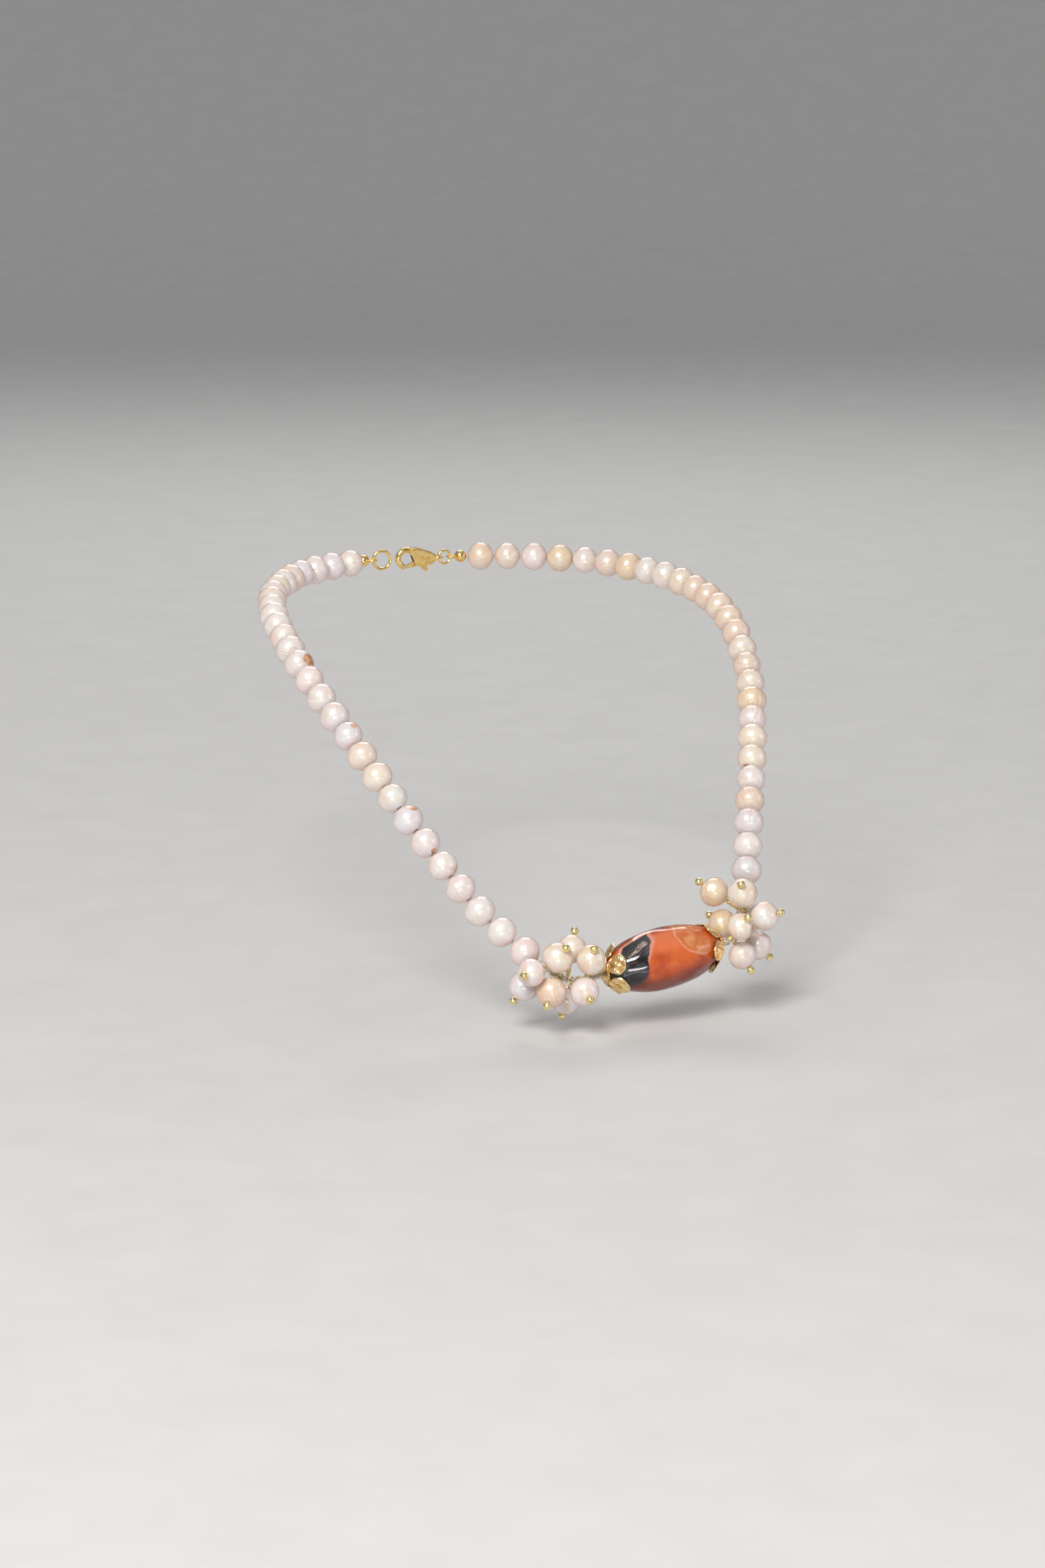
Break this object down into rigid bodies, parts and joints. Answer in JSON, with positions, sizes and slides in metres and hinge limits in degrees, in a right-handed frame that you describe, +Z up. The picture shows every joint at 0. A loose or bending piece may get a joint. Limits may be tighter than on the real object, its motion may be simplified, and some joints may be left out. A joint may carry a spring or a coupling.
{
  "type": "pearl necklace",
  "caption": "Single-strand pearl necklace with an oval agate centre bead, flower caps, two clusters of pearl drops on headpins and a lobster clasp",
  "frame": {"origin": "centre of the neck opening, level with the clasp at the nape", "axes": "+X to the wearer's left (the viewer's right), +Y from the pendant towards the nape, +Z up"},
  "size_m": [0.1259, 0.1786, 0.0906],
  "materials": {
    "strand_pearl": "white freshwater pearl with a pink and lavender lustre",
    "cluster_pearl": "cream to champagne freshwater pearl",
    "agate": "polished orange-red banded agate with a dark grey patch",
    "cap_gold": "hammered warm gold plate",
    "pin_gold": "polished yellow gold plate",
    "clasp_gold": "polished yellow gold plate",
    "spring_steel": "bright spring wire",
    "thread": "twisted silk beading thread",
    "core_bead": "small translucent seed bead"
  },
  "bodies": {
    "front": {"beading_thread": "thread", "cluster_core_beads": "core_bead", "left_strand_pearls_1": "strand_pearl", "right_strand_pearls_1": "strand_pearl"},
    "agate": {"agate_bead": "agate"},
    "left_cap": {"left_flower_cap": "cap_gold"},
    "right_cap": {"right_flower_cap": "cap_gold"},
    "left_drop_1": {"left_cluster_pearl_1": "cluster_pearl", "left_headpin_1": "pin_gold"},
    "left_drop_2": {"left_cluster_pearl_2": "cluster_pearl", "left_headpin_2": "pin_gold"},
    "left_drop_3": {"left_cluster_pearl_3": "cluster_pearl", "left_headpin_3": "pin_gold"},
    "left_drop_4": {"left_cluster_pearl_4": "cluster_pearl", "left_headpin_4": "pin_gold"},
    "left_drop_5": {"left_cluster_pearl_5": "cluster_pearl", "left_headpin_5": "pin_gold"},
    "left_drop_6": {"left_cluster_pearl_6": "cluster_pearl", "left_headpin_6": "pin_gold"},
    "left_drop_7": {"left_cluster_pearl_7": "cluster_pearl", "left_headpin_7": "pin_gold"},
    "left_drop_8": {"left_cluster_pearl_8": "cluster_pearl", "left_headpin_8": "pin_gold"},
    "right_drop_1": {"right_cluster_pearl_1": "cluster_pearl", "right_headpin_1": "pin_gold"},
    "right_drop_2": {"right_cluster_pearl_2": "cluster_pearl", "right_headpin_2": "pin_gold"},
    "right_drop_3": {"right_cluster_pearl_3": "cluster_pearl", "right_headpin_3": "pin_gold"},
    "right_drop_4": {"right_cluster_pearl_4": "cluster_pearl", "right_headpin_4": "pin_gold"},
    "right_drop_5": {"right_cluster_pearl_5": "cluster_pearl", "right_headpin_5": "pin_gold"},
    "right_drop_6": {"right_cluster_pearl_6": "cluster_pearl", "right_headpin_6": "pin_gold"},
    "right_drop_7": {"right_cluster_pearl_7": "cluster_pearl", "right_headpin_7": "pin_gold"},
    "right_drop_8": {"right_cluster_pearl_8": "cluster_pearl", "right_headpin_8": "pin_gold"},
    "left_strand_2": {"left_strand_pearls_2": "strand_pearl"},
    "left_strand_3": {"left_strand_pearls_3": "strand_pearl"},
    "left_strand_4": {"left_strand_pearls_4": "strand_pearl"},
    "left_strand_5": {"left_strand_pearls_5": "strand_pearl"},
    "left_strand_6": {"left_strand_pearls_6": "strand_pearl"},
    "left_strand_7": {"left_strand_pearls_7": "strand_pearl"},
    "left_strand_8": {"left_strand_pearls_8": "strand_pearl", "left_bead_tip": "clasp_gold"},
    "right_strand_2": {"right_strand_pearls_2": "strand_pearl"},
    "right_strand_3": {"right_strand_pearls_3": "strand_pearl"},
    "right_strand_4": {"right_strand_pearls_4": "strand_pearl"},
    "right_strand_5": {"right_strand_pearls_5": "strand_pearl"},
    "right_strand_6": {"right_strand_pearls_6": "strand_pearl"},
    "right_strand_7": {"right_strand_pearls_7": "strand_pearl", "right_bead_tip": "clasp_gold"},
    "end_ring": {"end_ring": "clasp_gold"},
    "clasp_ring": {"clasp_ring": "clasp_gold"},
    "clasp": {"clasp_body": "clasp_gold", "clasp_rivet": "clasp_gold", "clasp_spring": "spring_steel"},
    "lever": {"clasp_lever": "clasp_gold"}
  },
  "joints": [
    {"name": "agate_spin", "type": "hinge", "parent": "front", "child": "agate", "pos_m": [0.00518, -0.10715, -0.07376], "axis": [0.9866, 0.0272, 0.1607], "continuous": true},
    {"name": "left_cap_spin", "type": "hinge", "parent": "front", "child": "left_cap", "pos_m": [0.00518, -0.10715, -0.07376], "axis": [0.9866, 0.0272, 0.1607], "continuous": true},
    {"name": "right_cap_spin", "type": "hinge", "parent": "front", "child": "right_cap", "pos_m": [0.00518, -0.10715, -0.07376], "axis": [0.9866, 0.0272, 0.1607], "continuous": true},
    {"name": "left_drop_1_swing", "type": "hinge", "parent": "front", "child": "left_drop_1", "pos_m": [-0.01411, -0.10768, -0.0769], "axis": [-0.9866, -0.0272, -0.1607], "range_deg": [-3, 3]},
    {"name": "left_drop_2_swing", "type": "hinge", "parent": "front", "child": "left_drop_2", "pos_m": [-0.01639, -0.10769, -0.07711], "axis": [-0.9992, 0.0297, 0.0262], "range_deg": [-3, 3]},
    {"name": "left_drop_3_swing", "type": "hinge", "parent": "front", "child": "left_drop_3", "pos_m": [-0.01759, -0.10764, -0.077], "axis": [-0.9859, 0.0678, 0.1532], "range_deg": [-3, 3]},
    {"name": "left_drop_4_swing", "type": "hinge", "parent": "front", "child": "left_drop_4", "pos_m": [-0.01875, -0.10753, -0.07674], "axis": [-0.955, 0.1047, 0.2774], "range_deg": [-3, 3]},
    {"name": "left_drop_5_swing", "type": "hinge", "parent": "front", "child": "left_drop_5", "pos_m": [-0.02117, -0.10715, -0.07563], "axis": [-0.8249, 0.18, 0.5358], "range_deg": [-3, 3]},
    {"name": "left_drop_6_swing", "type": "hinge", "parent": "front", "child": "left_drop_6", "pos_m": [-0.02317, -0.10663, -0.07422], "axis": [-0.7776, 0.2522, 0.5759], "range_deg": [-3, 3]},
    {"name": "left_drop_7_swing", "type": "hinge", "parent": "front", "child": "left_drop_7", "pos_m": [-0.02409, -0.1063, -0.07352], "axis": [-0.7516, 0.3097, 0.5824], "range_deg": [-3, 3]},
    {"name": "left_drop_8_swing", "type": "hinge", "parent": "front", "child": "left_drop_8", "pos_m": [-0.02497, -0.10589, -0.07282], "axis": [-0.7226, 0.3659, 0.5865], "range_deg": [-3, 3]},
    {"name": "right_drop_1_swing", "type": "hinge", "parent": "front", "child": "right_drop_1", "pos_m": [0.0222, -0.10668, -0.07099], "axis": [0.9806, 0.0572, 0.1877], "range_deg": [-3, 3]},
    {"name": "right_drop_2_swing", "type": "hinge", "parent": "front", "child": "right_drop_2", "pos_m": [0.02344, -0.1065, -0.07065], "axis": [0.923, 0.2107, 0.3219], "range_deg": [-3, 3]},
    {"name": "right_drop_3_swing", "type": "hinge", "parent": "front", "child": "right_drop_3", "pos_m": [0.02514, -0.10586, -0.06982], "axis": [0.7551, 0.426, 0.4983], "range_deg": [-3, 3]},
    {"name": "right_drop_4_swing", "type": "hinge", "parent": "front", "child": "right_drop_4", "pos_m": [0.02614, -0.10512, -0.069], "axis": [0.5756, 0.559, 0.5968], "range_deg": [-3, 3]},
    {"name": "right_drop_5_swing", "type": "hinge", "parent": "front", "child": "right_drop_5", "pos_m": [0.02742, -0.10339, -0.06722], "axis": [0.4174, 0.6362, 0.6489], "range_deg": [-3, 3]},
    {"name": "right_drop_6_swing", "type": "hinge", "parent": "front", "child": "right_drop_6", "pos_m": [0.02837, -0.10184, -0.06564], "axis": [0.3719, 0.651, 0.6617], "range_deg": [-3, 3]},
    {"name": "right_drop_7_swing", "type": "hinge", "parent": "front", "child": "right_drop_7", "pos_m": [0.02884, -0.10099, -0.06478], "axis": [0.3469, 0.6584, 0.668], "range_deg": [-3, 3]},
    {"name": "right_drop_8_swing", "type": "hinge", "parent": "front", "child": "right_drop_8", "pos_m": [0.02927, -0.10013, -0.06391], "axis": [0.3216, 0.6653, 0.6738], "range_deg": [-3, 3]},
    {"name": "left_strand_bend_2", "type": "hinge", "parent": "front", "child": "left_strand_2", "pos_m": [-0.0408, -0.0891, -0.05452], "axis": [0, 0, 1], "range_deg": [0, 15], "deforming": ["beading_thread"]},
    {"name": "left_strand_bend_3", "type": "hinge", "parent": "left_strand_2", "child": "left_strand_3", "pos_m": [-0.05064, -0.06924, -0.03621], "axis": [0, 0, 1], "range_deg": [0, 15], "deforming": ["beading_thread"]},
    {"name": "left_strand_bend_4", "type": "hinge", "parent": "left_strand_3", "child": "left_strand_4", "pos_m": [-0.05734, -0.04615, -0.02024], "axis": [0, 0, 1], "range_deg": [0, 15], "deforming": ["beading_thread"]},
    {"name": "left_strand_bend_5", "type": "hinge", "parent": "left_strand_4", "child": "left_strand_5", "pos_m": [-0.05955, -0.01998, -0.00858], "axis": [0, 0, 1], "range_deg": [0, 15], "deforming": ["beading_thread"]},
    {"name": "left_strand_bend_6", "type": "hinge", "parent": "left_strand_5", "child": "left_strand_6", "pos_m": [-0.05496, 0.00777, -0.00297], "axis": [0, 0, 1], "range_deg": [0, 15], "deforming": ["beading_thread"]},
    {"name": "left_strand_bend_7", "type": "hinge", "parent": "left_strand_6", "child": "left_strand_7", "pos_m": [-0.04691, 0.02769, -0.00138], "axis": [0, 0, 1], "range_deg": [0, 15], "deforming": ["beading_thread"]},
    {"name": "left_strand_bend_8", "type": "hinge", "parent": "left_strand_7", "child": "left_strand_8", "pos_m": [-0.03415, 0.04513, -0.00075], "axis": [0, 0, 1], "range_deg": [0, 15], "deforming": ["beading_thread"]},
    {"name": "right_strand_bend_2", "type": "hinge", "parent": "front", "child": "right_strand_2", "pos_m": [0.04072, -0.07577, -0.04152], "axis": [0, 0, -1], "range_deg": [0, 15], "deforming": ["beading_thread"]},
    {"name": "right_strand_bend_3", "type": "hinge", "parent": "right_strand_2", "child": "right_strand_3", "pos_m": [0.05039, -0.05346, -0.02613], "axis": [0, 0, -1], "range_deg": [0, 15], "deforming": ["beading_thread"]},
    {"name": "right_strand_bend_4", "type": "hinge", "parent": "right_strand_3", "child": "right_strand_4", "pos_m": [0.05723, -0.02874, -0.01294], "axis": [0, 0, -1], "range_deg": [0, 15], "deforming": ["beading_thread"]},
    {"name": "right_strand_bend_5", "type": "hinge", "parent": "right_strand_4", "child": "right_strand_5", "pos_m": [0.05815, -0.00135, -0.0044], "axis": [0, 0, -1], "range_deg": [0, 15], "deforming": ["beading_thread"]},
    {"name": "right_strand_bend_6", "type": "hinge", "parent": "right_strand_5", "child": "right_strand_6", "pos_m": [0.05141, 0.02635, -0.00155], "axis": [0, 0, -1], "range_deg": [0, 15], "deforming": ["beading_thread"]},
    {"name": "right_strand_bend_7", "type": "hinge", "parent": "right_strand_6", "child": "right_strand_7", "pos_m": [0.03419, 0.04899, -0.0007], "axis": [0, 0, -1], "range_deg": [0, 15], "deforming": ["beading_thread"]},
    {"name": "end_ring_swing", "type": "hinge", "parent": "left_strand_8", "child": "end_ring", "pos_m": [-0.01185, 0.0578, -0.0005], "axis": [0, 0, 1], "range_deg": [-60, 60]},
    {"name": "clasp_ring_swing", "type": "hinge", "parent": "right_strand_7", "child": "clasp_ring", "pos_m": [0.00985, 0.0578, -0.0005], "axis": [0, 0, 1], "range_deg": [-40, 40]},
    {"name": "clasp_swing", "type": "hinge", "parent": "clasp_ring", "child": "clasp", "pos_m": [0.00645, 0.0578, -0.0005], "axis": [0, 0, 1], "range_deg": [-40, 40]},
    {"name": "lever_press", "type": "hinge", "parent": "clasp", "child": "lever", "pos_m": [0.0016, 0.0578, -0.0014], "axis": [0, 1, 0], "range_deg": [0, 25], "stiffness_Nm_per_rad": 0.004, "springref_deg": -17.19}
  ],
  "couplings": [
    {"joint": "left_strand_bend_3", "follows": "left_strand_bend_2", "ratio": 1},
    {"joint": "left_strand_bend_4", "follows": "left_strand_bend_2", "ratio": 1},
    {"joint": "left_strand_bend_5", "follows": "left_strand_bend_2", "ratio": 1},
    {"joint": "left_strand_bend_6", "follows": "left_strand_bend_2", "ratio": 1},
    {"joint": "left_strand_bend_7", "follows": "left_strand_bend_2", "ratio": 1},
    {"joint": "left_strand_bend_8", "follows": "left_strand_bend_2", "ratio": 1},
    {"joint": "right_strand_bend_3", "follows": "right_strand_bend_2", "ratio": 1},
    {"joint": "right_strand_bend_4", "follows": "right_strand_bend_2", "ratio": 1},
    {"joint": "right_strand_bend_5", "follows": "right_strand_bend_2", "ratio": 1},
    {"joint": "right_strand_bend_6", "follows": "right_strand_bend_2", "ratio": 1},
    {"joint": "right_strand_bend_7", "follows": "right_strand_bend_2", "ratio": 1}
  ]
}
